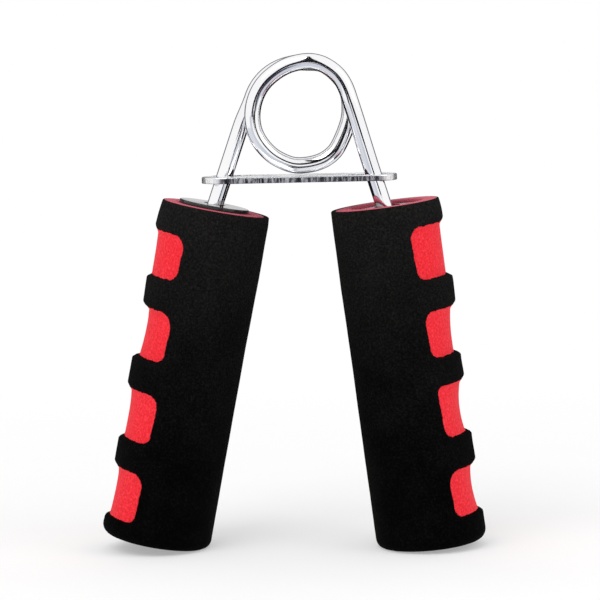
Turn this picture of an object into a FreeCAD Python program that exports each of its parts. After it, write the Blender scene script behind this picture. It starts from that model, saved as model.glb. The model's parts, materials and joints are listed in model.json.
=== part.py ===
import FreeCAD, Part
import math
import os
import re

import Sketcher
from FreeCAD import Placement, Rotation, Vector

# Hand grip strengthener: one steel wire wound into a coil whose two straight legs run down into
# foam covered handles, held apart by a slotted steel plate. It stands on the ends of its handles.
# X runs from the left handle to the right one, Y away from the viewer, Z up from the floor.
# Each left hand piece is its right hand twin turned half a turn about the middle line through the coil,
# apart from the handles' lean and how far each foam is pushed on. The left foam reaches lower, so the
# grip stands tilted by a degree and a half.

# Driving dimensions in millimetres and degrees
DIMENSIONS = {
    # steel wire and coil
    "wire_diameter": (5.2, "spring steel wire"),
    "coil_half_width": (16.0, "coil axis to the wire's centre, sideways"),
    "coil_half_height": (16.4, "coil axis to the wire's centre, up and down"),
    "turn_gap": (0.7, "free gap between neighbouring turns"),
    "turn_shift": (0.5, "how far each turn lies to the left of the one in front"),
    "set_bend_radius": (40.0, "bend that squares a leg to the coil's axis"),
    # legs
    "leg_lean": (18.2, "leg to the grip's middle line"),
    "leg_bend_radius": (15.0, "bend inside the handle"),
    "socket_depth": (62.0, "wire below the bend"),
    "socket_end": (0.5, "wire's end to the socket's floor"),
    # spreader plate
    "plate_length": (62.0, "end to end"),
    "plate_width": (16.0, "front to back"),
    "plate_thickness": (2.0, "sheet thickness"),
    "plate_drop": (0.4, "coil to plate"),
    "plate_edge": (0.3, "rounding of the stamped edge"),
    "slot_clearance": (0.3, "slot wall to wire"),
    "slot_end_gap": (0.15, "slot end to the wire that pulls against it"),
    "slot_spare": (0.8, "slot end to the wire of a closed grip"),
    # handles
    "handle_drop_left": (8.7, "plate's underside to the middle of the left foam's upper end"),
    "handle_drop_right": (6.9, "plate's underside to the middle of the right foam's upper end"),
    "handle_lean_left": (10.15, "left handle to the grip's middle line"),
    "handle_lean_right": (7.9, "right handle to the grip's middle line"),
    "handle_length": (109.0, "foam end to foam end"),
    "bend_depth_left": (0.7, "foam top to the bend in the wire, left"),
    "bend_depth_right": (5.7, "foam top to the bend in the wire, right"),
    "core_diameter": (22.5, "plastic core"),
    "core_rise_left": (1.2, "core above the foam, left"),
    "core_rise_right": (-0.7, "core above the foam, right"),
    "core_edge": (0.4, "rounding of the core's rim"),
    "socket_clearance": (0.05, "wire to socket wall"),
    "mouth_clearance": (0.6, "wire to the rim of the socket's mouth"),
    "mouth_depth": (10.0, "depth of the conical mouth"),
    "inner_thickness": (5.1, "inner foam layer"),
    "cover_thickness": (1.35, "outer foam layer"),
    "cover_end": (3.0, "outer layer closed over the lower end"),
    "end_rounding": (3.2, "rounding of the closed end"),
    "rim_draw": (0.7, "how far the upper rim is drawn in"),
    "rim_draw_length": (5.0, "length of the drawn rim"),
    "foot_flat": (0.5, "foam flattened where it stands"),
    # finger grooves
    "first_groove": (16.5, "foam top to the middle of the first groove"),
    "groove_pitch": (25.85, "groove to groove"),
    "groove_length": (15.6, "length in which the inner foam shows"),
    "groove_width": (32.4, "groove across the handle"),
    "groove_corner": (4.5, "corner radius of a groove"),
    "groove_offset": (0.3, "groove floor's axis, inwards of the handle's"),
    "ramp_length": (2.7, "slope into the groove"),
    "ramp_depth": (1.7, "depth at the foot of the slope"),
    "groove_exit": (1.6, "depth at the lower end"),
    "floor_radius": (36.0, "sweep of the groove's floor"),
    "lip_radius": (1.0, "rounding of the ridge below a groove"),
}
GROOVES = 4
COIL_STEPS = 6  # biarcs along the coil, each about a quarter turn
POINTS_PER_ARC = 40  # where the coil's gap to itself is measured

doc = FreeCAD.newDocument("hand_grip_strengthener")
sizes = doc.addObject("Spreadsheet::Sheet", "sizes")
for row, (name, (value, note)) in enumerate(DIMENSIONS.items(), 1):
    sizes.set(f"A{row}", note)
    sizes.set(f"B{row}", str(value))
    sizes.setAlias(f"B{row}", name)
doc.recompute()


def formula(text):
    """The text with each dimension's name written as its cell of the sheet."""
    return re.sub(r"[a-z_]{3,}", lambda word: f"sizes.{word[0]}" if word[0] in DIMENSIONS else word[0], text)


def number(text):
    return float(sizes.evalExpression(formula(text)))


def bind(thing, prop, text):
    thing.setExpression(prop, formula(text))


def origin_plane(body, role):
    return next(plane for plane in body.Origin.OriginFeatures if plane.Role == role)


def new_body(label, placement=None):
    body = doc.addObject("PartDesign::Body", label)
    body.Label = label
    body.Placement = placement or Placement()
    return body


def new_sketch(body, name, role):
    sketch = body.newObject("Sketcher::SketchObject", f"{body.Name}_{name}")
    sketch.AttachmentSupport = [(origin_plane(body, role), "")]
    sketch.MapMode = "FlatFace"
    return sketch


def fix(sketch, kind, place, text):
    """Binds one distance or size in a sketch to a formula of the sheet."""
    index = sketch.addConstraint(Sketcher.Constraint(kind, *place, number(text)))
    sketch.setExpression(f"Constraints[{index}]", formula(text))


def outline(sketch, corners, arcs=None, closed=True):
    """A chain through corners, each a pair of formulas.
    arcs gives, for the arc that leaves a corner, the formulas of its centre and whether it turns left."""
    arcs = arcs or {}
    first = sketch.GeometryCount
    points = [Vector(number(x), number(y), 0) for x, y in corners]
    count = len(points) if closed else len(points) - 1
    starts, ends = [], []
    for i in range(count):
        start, end = points[i], points[(i + 1) % len(points)]
        if i in arcs:
            centre_x, centre_y, left = arcs[i]
            centre = Vector(number(centre_x), number(centre_y), 0)
            low, high = (start, end) if left else (end, start)
            circle = Part.Circle(centre, Vector(0, 0, 1), (start - centre).Length)
            turn = [math.atan2(p.y - centre.y, p.x - centre.x) for p in (low, high)]
            sketch.addGeometry(Part.ArcOfCircle(circle, turn[0], turn[1]))
            starts.append(1 if left else 2)
            ends.append(2 if left else 1)
        else:
            sketch.addGeometry(Part.LineSegment(start, end))
            starts.append(1)
            ends.append(2)
    for i in range(count if closed else count - 1):
        after = (i + 1) % count
        sketch.addConstraint(
            Sketcher.Constraint("Coincident", first + i, ends[i], first + after, starts[after])
        )
    for i, (x, y) in enumerate(corners):
        line, end = (first + i, starts[i]) if i < count else (first + i - 1, ends[i - 1])
        fix(sketch, "DistanceX", (-1, 1, line, end), x)
        fix(sketch, "DistanceY", (-1, 1, line, end), y)
    for i, (centre_x, centre_y, _) in arcs.items():
        along = points[(i + 1) % len(points)] - points[i]
        if abs(along.x) > abs(along.y):
            fix(sketch, "DistanceY", (-1, 1, first + i, 3), centre_y)
        else:
            fix(sketch, "DistanceX", (-1, 1, first + i, 3), centre_x)


def rounded_box(sketch, left, low, right, high, radius):
    """A rectangle with four round corners, from the formulas of its sides."""
    outline(
        sketch,
        [
            (f"{left} + {radius}", low),
            (f"{right} - {radius}", low),
            (right, f"{low} + {radius}"),
            (right, f"{high} - {radius}"),
            (f"{right} - {radius}", high),
            (f"{left} + {radius}", high),
            (left, f"{high} - {radius}"),
            (left, f"{low} + {radius}"),
        ],
        {
            1: (f"{right} - {radius}", f"{low} + {radius}", True),
            3: (f"{right} - {radius}", f"{high} - {radius}", True),
            5: (f"{left} + {radius}", f"{high} - {radius}", True),
            7: (f"{left} + {radius}", f"{low} + {radius}", True),
        },
    )


def stadium(sketch, left, right, middle, radius):
    """A slot outline with half round ends, from the formulas of its ends, middle line and end radius."""
    low, high = f"{middle} - {radius}", f"{middle} + {radius}"
    start, end = f"{left} + {radius}", f"{right} - {radius}"
    outline(
        sketch,
        [(start, low), (end, low), (end, high), (start, high)],
        {1: (end, middle, True), 3: (start, middle, True)},
    )


def revolve(body, sketch, kind="PartDesign::Revolution"):
    """The sketch turned all round the body's vertical axis, added or cut away."""
    feature = body.newObject(kind, f"{body.Name}_turned")
    feature.Profile = sketch
    feature.ReferenceAxis = (sketch, ["V_Axis"])
    feature.Angle = 360
    sketch.Visibility = False
    return feature


# Places that follow from the dimensions, with the coil's axis as the origin until each is placed


def lean_direction(degrees_out):
    """Down and to the right, leaning out from the vertical."""
    turn = math.radians(degrees_out)
    return Vector(math.sin(turn), 0, -math.cos(turn))


wire = number("wire_diameter")
half_width, half_height = number("coil_half_width"), number("coil_half_height")
leg_way = lean_direction(number("leg_lean"))
start_turn = math.atan(half_height / half_width * math.tan(math.radians(number("leg_lean"))))
coil_sweep = 3 * math.pi - 2 * start_turn
rise_per_radian = (wire + number("turn_gap")) / (2 * math.pi)


shift_per_radian = number("turn_shift") / (2 * math.pi)


def coil_point(turn):
    wound = turn - start_turn - coil_sweep / 2
    x = half_width * math.cos(turn) - shift_per_radian * wound
    return Vector(x, rise_per_radian * wound, half_height * math.sin(turn))


def coil_way(turn):
    x = -half_width * math.sin(turn) - shift_per_radian
    return Vector(x, rise_per_radian, half_height * math.cos(turn)).normalize()


coil_start = coil_point(start_turn)
way_out = coil_way(start_turn) * -1
set_turn = way_out.getAngle(leg_way)
set_tangent = number("set_bend_radius") * math.tan(set_turn / 2)
set_corner = coil_start + way_out * set_tangent
leg_plane = -set_corner.y
leg_start = set_corner + leg_way * (set_tangent + wire)
plate_top = -half_height - wire / 2 - number("plate_drop")
plate_middle = plate_top - number("plate_thickness") / 2
leg_reach = abs(leg_start.x * leg_way.z - leg_start.z * leg_way.x)
foam_radius = number("core_diameter / 2 + inner_thickness + cover_thickness")
rounding = number("end_rounding")


def leg_length(side):
    """From a leg's upper end to the corner of its bend."""
    below_foam_top = f"bend_depth_{side} * cos(handle_lean_{side} * 1 deg)"
    bend_height = plate_top - number(f"plate_thickness + handle_drop_{side} + {below_foam_top}")
    return (bend_height - leg_start.z) / leg_way.z


def on_handle(side, depth):
    """The point on the handle's axis so far below the foam's upper end, seen as a right hand handle."""
    way = lean_direction(number(f"handle_lean_{side}"))
    return leg_start + leg_way * leg_length(side) + way * (depth - number(f"bend_depth_{side}"))


def end_corner(side, outwards):
    """The middle of the round corner at a handle's lower end, on its outer or inner side, as it is
    in front of the viewer."""
    lean = math.radians(number(f"handle_lean_{side}"))
    across = Vector(math.cos(lean), 0, math.sin(lean)) * (foam_radius - rounding) * outwards
    corner = on_handle(side, number("handle_length") - rounding) + across
    return Vector(-corner.x if side == "left" else corner.x, 0, corner.z)


def edge_angle(side):
    """The angle at the coil between the vertical and the handle's inner edge, near its lower end."""
    lean = math.radians(number(f"handle_lean_{side}"))
    across = Vector(-math.cos(lean), 0, -math.sin(lean))
    end = on_handle(side, number("handle_length") - rounding)
    edge = end + across * math.sqrt(foam_radius**2 - leg_plane**2)
    return math.degrees(math.atan2(edge.x, -edge.z))


SIDES = ("left", "right")
closing_angle = sum(edge_angle(side) for side in SIDES) / 2  # both swing alike until they meet
base_line = end_corner("right", -1) - end_corner("left", -1)
UPRIGHT = Rotation(Vector(0, 1, 0), math.degrees(math.atan2(base_line.z, base_line.x)))
coil_height = rounding - number("foot_flat") - UPRIGHT.multVec(end_corner("left", -1)).z
coil_aside = -sum(UPRIGHT.multVec(end_corner(side, 1)).x for side in SIDES) / 2


def plate_crossing(degrees_out):
    """Where a leg's middle line goes through the plate, for a leg that leans out by so much."""
    turn = math.radians(degrees_out)
    return (leg_reach - plate_middle * math.sin(turn)) / math.cos(turn)


HALF_TURN = Rotation(Vector(0, 0, 1), 180)
TO_FLOOR = Placement(Vector(coil_aside, 0, coil_height), UPRIGHT)


def hang(side, place, degrees_out):
    """The placement of a piece that hangs from place and leans out, on its side of the coil."""
    right = Placement(place, Rotation(Vector(0, 1, 0), -degrees_out))
    turned = HALF_TURN if side == "left" else Rotation()
    return TO_FLOOR * Placement(Vector(), turned) * right


handle_places = {side: hang(side, on_handle(side, 0), number(f"handle_lean_{side}")) for side in SIDES}


# Coil: one unbroken tube on arcs, with a short straight end where each leg goes on


def arc_edge(start, corner, end):
    """The arc that leaves start and reaches end along the two sides that meet at corner."""
    middle = (start + end) / 2
    half_chord, height = (end - start).Length / 2, (corner - middle).Length
    radius = half_chord * math.hypot(half_chord, height) / height
    top = middle + (corner - middle).normalize() * (radius - half_chord**2 / height)
    return Part.Arc(start, top, end).toShape()


def biarc(start, start_way, end, end_way):
    """Two arcs that join smoothly and leave start and reach end along the given directions."""
    span = end - start
    along = span.dot(start_way + end_way)
    spread = 2 * (1 - start_way.dot(end_way))
    reach = (math.sqrt(along**2 + spread * span.dot(span)) - along) / spread
    first, second = start + start_way * reach, end - end_way * reach
    joint = (first + second) / 2
    return [arc_edge(start, first, joint), arc_edge(joint, second, end)]


def coil_path():
    """Straight end, set bend, coil, set bend and straight end, from the right leg to the left one."""
    turned = Placement(Vector(), HALF_TURN)
    coil_end = turned.multVec(coil_start)
    bend_foot = set_corner + leg_way * set_tangent
    edges = [
        Part.LineSegment(leg_start, bend_foot).toShape(),
        arc_edge(bend_foot, set_corner, coil_start),
    ]
    for step in range(COIL_STEPS):
        turns = [start_turn + coil_sweep * (step + k) / COIL_STEPS for k in (0, 1)]
        points = [coil_point(turn) for turn in turns]
        ways = [coil_way(turn) for turn in turns]
        edges += biarc(points[0], ways[0], points[1], ways[1])
    edges += [
        arc_edge(coil_end, turned.multVec(set_corner), turned.multVec(bend_foot)),
        Part.LineSegment(turned.multVec(bend_foot), turned.multVec(leg_start)).toShape(),
    ]
    return edges


def least_gap(edges, diameter):
    """The least distance between the skins of two stretches over a turn's third apart along the path."""
    points, travelled, so_far = [], [], 0.0
    for edge in edges:
        steps = edge.discretize(POINTS_PER_ARC)
        if points and (steps[0] - points[-1]).Length > (steps[-1] - points[-1]).Length:
            steps.reverse()
        for point in steps:
            so_far += (point - points[-1]).Length if points else 0.0
            points.append(point)
            travelled.append(so_far)
    third = 2 * math.pi * min(half_width, half_height) / 3
    return min(
        (points[i] - points[j]).Length - diameter
        for i in range(len(points))
        for j in range(i)
        if travelled[i] - travelled[j] > third
    )


def make_coil():
    edges = coil_path()
    path = Part.Wire(edges)
    section = Part.Wire(Part.Circle(leg_start, leg_way, wire / 2).toShape())
    tube = path.makePipeShell([section], True, False)
    solid = tube if tube.ShapeType == "Solid" else Part.Solid(tube)
    wanted = math.pi * wire**2 / 4 * path.Length
    print(f"coil: least gap to itself {least_gap(edges, wire):.2f} mm")
    print(f"coil: volume {solid.Volume:.0f} mm3, section times length {wanted:.0f} mm3")
    coil = doc.addObject("Part::Feature", "spring_coil")
    coil.Label = "spring_coil"
    coil.Shape = solid
    coil.Placement = TO_FLOOR
    return coil


# Legs: the wire's straight ends, each with one bend inside its handle


def make_leg(side):
    """The leg runs down from its body's origin and then bends inwards by the two leans' difference."""
    leg = new_body(f"{side}_leg", hang(side, leg_start, number("leg_lean")))
    turn = f"((leg_lean - handle_lean_{side}) * 1 deg)"
    straight = f"({leg_length(side)} - leg_bend_radius * tan({turn} / 2))"
    bent_x = f"leg_bend_radius * (cos({turn}) - 1)"
    bent_z = f"-{straight} - leg_bend_radius * sin({turn})"
    path = new_sketch(leg, "path", "XZ_Plane")
    outline(
        path,
        [
            ("0", "0"),
            ("0", f"-{straight}"),
            (bent_x, bent_z),
            (f"{bent_x} - socket_depth * sin({turn})", f"{bent_z} - socket_depth * cos({turn})"),
        ],
        {1: ("-leg_bend_radius", f"-{straight}", False)},
        closed=False,
    )
    section = new_sketch(leg, "section", "XY_Plane")
    section.addGeometry(Part.Circle(Vector(), Vector(0, 0, 1), wire / 2))
    section.addConstraint(Sketcher.Constraint("Coincident", 0, 3, -1, 1))
    fix(section, "Radius", (0,), "wire_diameter / 2")
    rod = leg.newObject("PartDesign::AdditivePipe", f"{side}_leg_rod")
    rod.Profile = section
    rod.Spine = (path, ["Edge1", "Edge2", "Edge3"])
    return leg


# Spreader plate: a flat steel strip whose slots hold the legs apart


def make_plate():
    plate = new_body("spreader_plate", TO_FLOOR * Placement(Vector(0, 0, plate_top), Rotation()))
    strip = new_sketch(plate, "strip", "XY_Plane")
    stadium(strip, "-plate_length / 2", "plate_length / 2", "0", "plate_width / 2")
    sheet = plate.newObject("PartDesign::Pad", "plate_sheet")
    sheet.Profile = strip
    sheet.Reversed = True
    bind(sheet, "Length", "plate_thickness")
    doc.recompute()
    rims = [f"Edge{i}" for i, edge in enumerate(sheet.Shape.Edges, 1) if edge.BoundBox.ZLength < 0.001]
    rounded = plate.newObject("PartDesign::Fillet", "plate_edges")
    rounded.Base = (sheet, rims)
    bind(rounded, "Radius", "plate_edge")
    # a slanting leg cuts the sheet in an ellipse that also shifts from one face to the other
    reach = "(wire_diameter / 2 / cos({0} * 1 deg) + plate_thickness / 2 * tan({0} * 1 deg))"
    open_lean = number("leg_lean")
    closed_lean = open_lean - closing_angle
    outer = f"({plate_crossing(open_lean)} + {reach.format(open_lean)} + slot_end_gap)"
    inner = f"({plate_crossing(closed_lean)} - {reach.format(closed_lean)} - slot_spare)"
    half = "(wire_diameter / 2 + slot_clearance)"
    slots = new_sketch(plate, "slots", "XY_Plane")
    stadium(slots, inner, outer, f"-{leg_plane}", half)
    stadium(slots, f"-{outer}", f"-{inner}", f"{leg_plane}", half)
    punched = plate.newObject("PartDesign::Pocket", "plate_slots")
    punched.Profile = slots
    bind(punched, "Length", "plate_thickness")
    return plate


# Handle pieces, each in the handle's own frame: its axis upwards, the foam's upper end at zero and
# the fingers' side towards +X

CORE_RADIUS = "core_diameter / 2"
INNER_RADIUS = f"({CORE_RADIUS} + inner_thickness)"
COVER_RADIUS = f"({INNER_RADIUS} + cover_thickness)"
CORE_END = "(cover_end - handle_length)"


def make_core(side):
    """A plastic rod with a socket for the wire, whose mouth widens for the wire's slanting part."""
    core = new_body(f"{side}_core", handle_places[side])
    rise = f"core_rise_{side}"
    tilt = f"((leg_lean - handle_lean_{side}) * 1 deg)"
    over_bend = f"(bend_depth_{side} + {rise})"
    mouth = f"(wire_diameter / 2 / cos({tilt}) + {over_bend} * tan({tilt}) + mouth_clearance)"
    socket = "(wire_diameter / 2 + socket_clearance)"
    socket_floor = f"-(bend_depth_{side} + leg_bend_radius * tan({tilt} / 2) + socket_depth + socket_end)"
    profile = new_sketch(core, "profile", "XZ_Plane")
    outline(
        profile,
        [
            ("0", CORE_END),
            (CORE_RADIUS, CORE_END),
            (CORE_RADIUS, f"{rise} - core_edge"),
            (f"{CORE_RADIUS} - core_edge", rise),
            (mouth, rise),
            (socket, "-mouth_depth"),
            (socket, socket_floor),
            ("0", socket_floor),
        ],
        {2: (f"{CORE_RADIUS} - core_edge", f"{rise} - core_edge", True)},
    )
    revolve(core, profile)
    return core


def make_inner_blank():
    """The inner foam tube before its finger grooves are cut."""
    blank = new_body("inner_blank")
    profile = new_sketch(blank, "profile", "XZ_Plane")
    outline(
        profile,
        [(CORE_RADIUS, CORE_END), (INNER_RADIUS, CORE_END), (INNER_RADIUS, "0"), (CORE_RADIUS, "0")],
    )
    revolve(blank, profile)
    return blank


def make_cover_blank():
    """The outer foam layer before its grooves: closed and rounded below, drawn in at the upper rim."""
    blank = new_body("cover_blank")
    rim_sweep = "(rim_draw_length^2 + rim_draw^2) / (2 * rim_draw)"
    profile = new_sketch(blank, "profile", "XZ_Plane")
    outline(
        profile,
        [
            ("0", "-handle_length"),
            (f"{COVER_RADIUS} - end_rounding", "-handle_length"),
            (COVER_RADIUS, "end_rounding - handle_length"),
            (COVER_RADIUS, "-rim_draw_length"),
            (f"{COVER_RADIUS} - rim_draw", "0"),
            (INNER_RADIUS, "0"),
            (INNER_RADIUS, CORE_END),
            ("0", CORE_END),
        ],
        {
            1: (f"{COVER_RADIUS} - end_rounding", "end_rounding - handle_length", True),
            3: (f"{COVER_RADIUS} - {rim_sweep}", "-rim_draw_length", True),
        },
    )
    revolve(blank, profile)
    return blank


def make_groove_tool():
    """What the finger grooves take away: round cornered blocks over floors turned about an offset axis.
    Each floor slopes in from above, sweeps down and ends at a step with a rounded lip."""
    tool = new_body("groove_tool", Placement(Vector(-number("groove_offset"), 0, 0), Rotation()))
    tool.AllowCompound = True
    skin = f"({COVER_RADIUS} + groove_offset)"
    ramp_hidden = "ramp_length * cover_thickness / ramp_depth"
    rise = "(groove_exit - ramp_depth)"
    run = f"(groove_length + {ramp_hidden} - ramp_length)"
    sweep = f"sqrt(floor_radius^2 / ({rise}^2 + {run}^2) - 1 / 4)"
    blocks = new_sketch(tool, "blocks", "YZ_Plane")
    floors = new_sketch(tool, "floors", "XZ_Plane")
    for groove in range(GROOVES):
        middle = f"(first_groove + {groove} * groove_pitch)"
        top = f"(groove_length / 2 + {ramp_hidden} - {middle})"
        step = f"(-groove_length / 2 - {middle})"
        low = f"({step} - lip_radius)"
        rounded_box(blocks, "-groove_width / 2", low, "groove_width / 2", top, "groove_corner")
        outline(
            floors,
            [
                ("0", low),
                (skin, low),
                (f"{skin} - lip_radius", step),
                (f"{skin} - groove_exit", step),
                (f"{skin} - ramp_depth", f"{top} - ramp_length"),
                (skin, top),
                ("0", top),
            ],
            {
                1: (f"{skin} - lip_radius", low, True),
                3: (
                    f"{skin} - (ramp_depth + groove_exit) / 2 + {run} * {sweep}",
                    f"({step} + {top} - ramp_length) / 2 - {rise} * {sweep}",
                    False,
                ),
            },
        )
    pad = tool.newObject("PartDesign::Pad", "groove_blocks")
    pad.Profile = blocks
    bind(pad, "Length", f"{skin} + cover_thickness")
    revolve(tool, floors, "PartDesign::Groove")
    return tool


def cut_away(label, base, tool):
    piece = doc.addObject("Part::Cut", label)
    piece.Label = label
    piece.Base = base
    piece.Tool = tool
    return piece


def make_floor(side):
    """What the floor takes off a handle's lowest edge, in the handle's frame."""
    floor = doc.addObject("Part::Box", f"{side}_floor")
    bind(floor, "Length", "handle_length")
    bind(floor, "Width", "handle_length")
    bind(floor, "Height", "handle_length")
    half = number("handle_length / 2")
    centre = handle_places[side].multVec(Vector(0, 0, -2 * half))
    below = Placement(Vector(centre.x - half, centre.y - half, -2 * half), Rotation())
    floor.Placement = handle_places[side].inverse() * below
    return floor


def make_handles():
    groove_tool = make_groove_tool()
    inner_blank = make_inner_blank()
    grooved_cover = cut_away("grooved_cover", make_cover_blank(), groove_tool)
    pieces = []
    for side, place in handle_places.items():
        inner = cut_away(f"{side}_inner_foam", inner_blank, groove_tool)
        cover = cut_away(f"{side}_foam_cover", grooved_cover, make_floor(side))
        inner.Placement = cover.Placement = place
        pieces += [make_core(side), inner, cover]
    return pieces


pieces = [make_coil(), make_plate()] + [make_leg(side) for side in SIDES] + make_handles()
doc.recompute()

failed = [thing.Name for thing in doc.Objects if {"Invalid", "Error"} & set(thing.State)]
if failed:
    raise RuntimeError(f"these did not build: {failed}")
os.makedirs("parts", exist_ok=True)
for piece in pieces:
    if piece.Shape.isNull() or not piece.Shape.isValid():
        raise RuntimeError(f"{piece.Label} has no valid shape")
    piece.Shape.exportStep(f"parts/{piece.Label}.step")
    print(f"{piece.Label}: {len(piece.Shape.Solids)} solid, {piece.Shape.Volume:.0f} mm3")
print(f"coil axis {coil_height:.3f} mm above the floor, {coil_aside:.3f} mm right of the middle")
print(f"stands tilted by {math.degrees(UPRIGHT.Angle):.3f} degrees")
print(f"each handle closes by {closing_angle:.2f} degrees")
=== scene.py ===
import json
import math

import bmesh
import bpy
import numpy as np
from mathutils import Matrix, Vector, noise


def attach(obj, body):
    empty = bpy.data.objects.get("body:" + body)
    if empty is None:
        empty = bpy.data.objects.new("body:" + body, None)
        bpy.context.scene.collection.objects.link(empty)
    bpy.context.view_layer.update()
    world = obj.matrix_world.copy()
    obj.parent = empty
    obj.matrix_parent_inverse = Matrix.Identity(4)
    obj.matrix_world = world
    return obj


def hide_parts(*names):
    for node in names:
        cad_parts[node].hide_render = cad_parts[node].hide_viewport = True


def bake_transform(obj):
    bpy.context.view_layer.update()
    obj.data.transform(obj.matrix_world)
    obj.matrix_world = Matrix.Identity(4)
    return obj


# Hand grip strengthener. Sizes below are in millimetres and degrees, as in the solids; the meshes are
# in metres. Each side is worked out as a right hand one about the coil's axis, and the left hand one is
# turned half a turn about the grip's middle line. Then the whole grip is tilted and set on the floor.

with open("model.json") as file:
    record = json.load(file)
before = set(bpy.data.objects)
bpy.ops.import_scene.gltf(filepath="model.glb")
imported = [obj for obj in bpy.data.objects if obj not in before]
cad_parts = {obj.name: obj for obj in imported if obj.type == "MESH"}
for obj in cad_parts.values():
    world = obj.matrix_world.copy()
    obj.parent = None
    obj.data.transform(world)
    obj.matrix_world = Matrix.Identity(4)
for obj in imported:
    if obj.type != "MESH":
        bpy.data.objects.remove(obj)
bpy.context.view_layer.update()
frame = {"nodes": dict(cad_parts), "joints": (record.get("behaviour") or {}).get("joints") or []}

MM = 0.001
SIDES = ("left", "right")

# the wire
WIRE = 5.2
HALF_WIDTH, HALF_HEIGHT = 16.0, 16.4
TURN_GAP, TURN_SHIFT = 0.7, 0.5  # from turn to turn, along the coil's axis and to the side
SET_BEND_RADIUS = 40.0
LEG_LEAN = 18.2
LEG_BEND_RADIUS = 15.0
SOCKET_DEPTH = 62.0
CLOSING = 11.21  # each leg's turn until the handles meet

# the plate
PLATE_LENGTH, PLATE_WIDTH, PLATE_THICKNESS = 62.0, 16.0, 2.0
PLATE_DROP = 0.4
PLATE_ASKEW = math.radians(1.2)  # the plate sits slightly askew on the legs, its right end higher

# the handles: how far each starts below the plate, its lean, and how deep in it its wire bends
HANDLE_DROP = {"left": 8.7, "right": 6.9}
HANDLE_LEAN = {"left": 10.15, "right": 7.9}
BEND_DEPTH = {"left": 0.7, "right": 5.7}
HANDLE_LENGTH = 109.0
CORE_RADIUS = 11.25
INNER_RADIUS = 16.35
COVER_RADIUS = 17.7

TILT = math.radians(1.649)
COIL_CENTRE = Vector(frame["joints"][0]["pos_m"]) / MM


def lean_direction(degrees_out):
    """The way down along a line that leans outwards by so much."""
    turn = math.radians(degrees_out)
    return Vector((math.sin(turn), 0, -math.cos(turn)))


START_TURN = math.atan(HALF_HEIGHT / HALF_WIDTH * math.tan(math.radians(LEG_LEAN)))
COIL_SWEEP = 3 * math.pi - 2 * START_TURN
RISE = (WIRE + TURN_GAP) / (2 * math.pi)
SHIFT = TURN_SHIFT / (2 * math.pi)


def ease(x):
    x = min(max(x, 0.0), 1.0)
    return x * x * (3 - 2 * x)


# How far outwards the cold wound wire strays from its even turns, in steps of (size, degrees over which
# it comes, degrees over which it goes). The leg's upper end counts on backwards from the coil's start.
STRAY = {
    "right": (
        (0.22, (-70, 5), (20, 50)),
        (0.85, (18, 50), (62, 98)),
        (-1.22, (75, 130), (155, 268)),
        (-0.35, (195, 228), (245, 269)),
    ),
    "left": (
        (-0.66, (-18, 19), (72, 110)),
        (1.0, (98, 120), (145, 185)),
        (-0.42, (178, 200), (204, 226)),
        (0.32, (212, 234), (238, 264)),
    ),
}


def stray(turn, side):
    """How far outwards the side's wire strays at this turn."""
    at = math.degrees(turn)
    total = 0.0
    for size, (comes, full), (goes, gone) in STRAY[side]:
        total += size * ease((at - comes) / (full - comes)) * (1 - ease((at - goes) / (gone - goes)))
    return total


def coil_point(turn):
    """A place on the even coil's middle line."""
    wound = turn - START_TURN - COIL_SWEEP / 2
    return Vector((HALF_WIDTH * math.cos(turn) - SHIFT * wound, RISE * wound, HALF_HEIGHT * math.sin(turn)))


def strayed(point, turn, side):
    """The even wire's point, moved outwards to where the side's wire really runs."""
    outwards = max(turn, START_TURN)
    return point + Vector((math.cos(outwards), 0, math.sin(outwards))) * stray(turn, side)


def coil_way(turn):
    """The way in which the even coil's middle line runs."""
    way = Vector((-HALF_WIDTH * math.sin(turn) - SHIFT, RISE, HALF_HEIGHT * math.cos(turn)))
    return way.normalized()


leg_way = lean_direction(LEG_LEAN)
way_out = -coil_way(START_TURN)
set_tangent = SET_BEND_RADIUS * math.tan(way_out.angle(leg_way) / 2)
set_corner = coil_point(START_TURN) + way_out * set_tangent
leg_plane = -set_corner.y
leg_start = set_corner + leg_way * (set_tangent + WIRE)
plate_top = -HALF_HEIGHT - WIRE / 2 - PLATE_DROP


def bend_corner(side):
    """Where the leg's middle line meets the handle's."""
    bend_drop = BEND_DEPTH[side] * math.cos(math.radians(HANDLE_LEAN[side]))
    drop = PLATE_THICKNESS + HANDLE_DROP[side] + bend_drop
    return leg_start + leg_way * ((plate_top - drop - leg_start.z) / leg_way.z)


def placed(side):
    """From a side's right hand coordinates about the coil to the row frame, in metres."""
    half_turn = Matrix.Rotation(math.pi if side == "left" else 0, 4, "Z")
    set_down = Matrix.Translation(COIL_CENTRE) @ Matrix.Rotation(TILT, 4, "Y")
    return Matrix.Scale(MM, 4) @ set_down @ half_turn


def handle_frame(side):
    """The handle's own frame: x towards the fingers, z up its axis, the foam's upper end at zero."""
    top = bend_corner(side) - lean_direction(HANDLE_LEAN[side]) * BEND_DEPTH[side]
    lean = Matrix.Rotation(-math.radians(HANDLE_LEAN[side]), 4, "Y")
    return placed(side) @ Matrix.Translation(top) @ lean


def link_new(name, data):
    """A new object in the scene, of this mesh, lamp or camera."""
    made = bpy.data.objects.new(name, data)
    bpy.context.scene.collection.objects.link(made)
    return made


def add_mesh(name, points, faces, frame_matrix, material, smooth=True):
    """A mesh object of these points in that frame, with quads or triangles."""
    matrix = np.array(frame_matrix)
    points = np.asarray(points, float) @ matrix[:3, :3].T + matrix[:3, 3]
    mesh = bpy.data.meshes.new(name)
    mesh.from_pydata(points.tolist(), [], faces)
    mesh.validate()
    mesh.polygons.foreach_set("use_smooth", [smooth] * len(mesh.polygons))
    mesh.materials.append(material)
    return link_new(name, mesh)


def smoothstep(x):
    x = np.clip(x, 0, 1)
    return x * x * (3 - 2 * x)


# Materials


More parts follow.
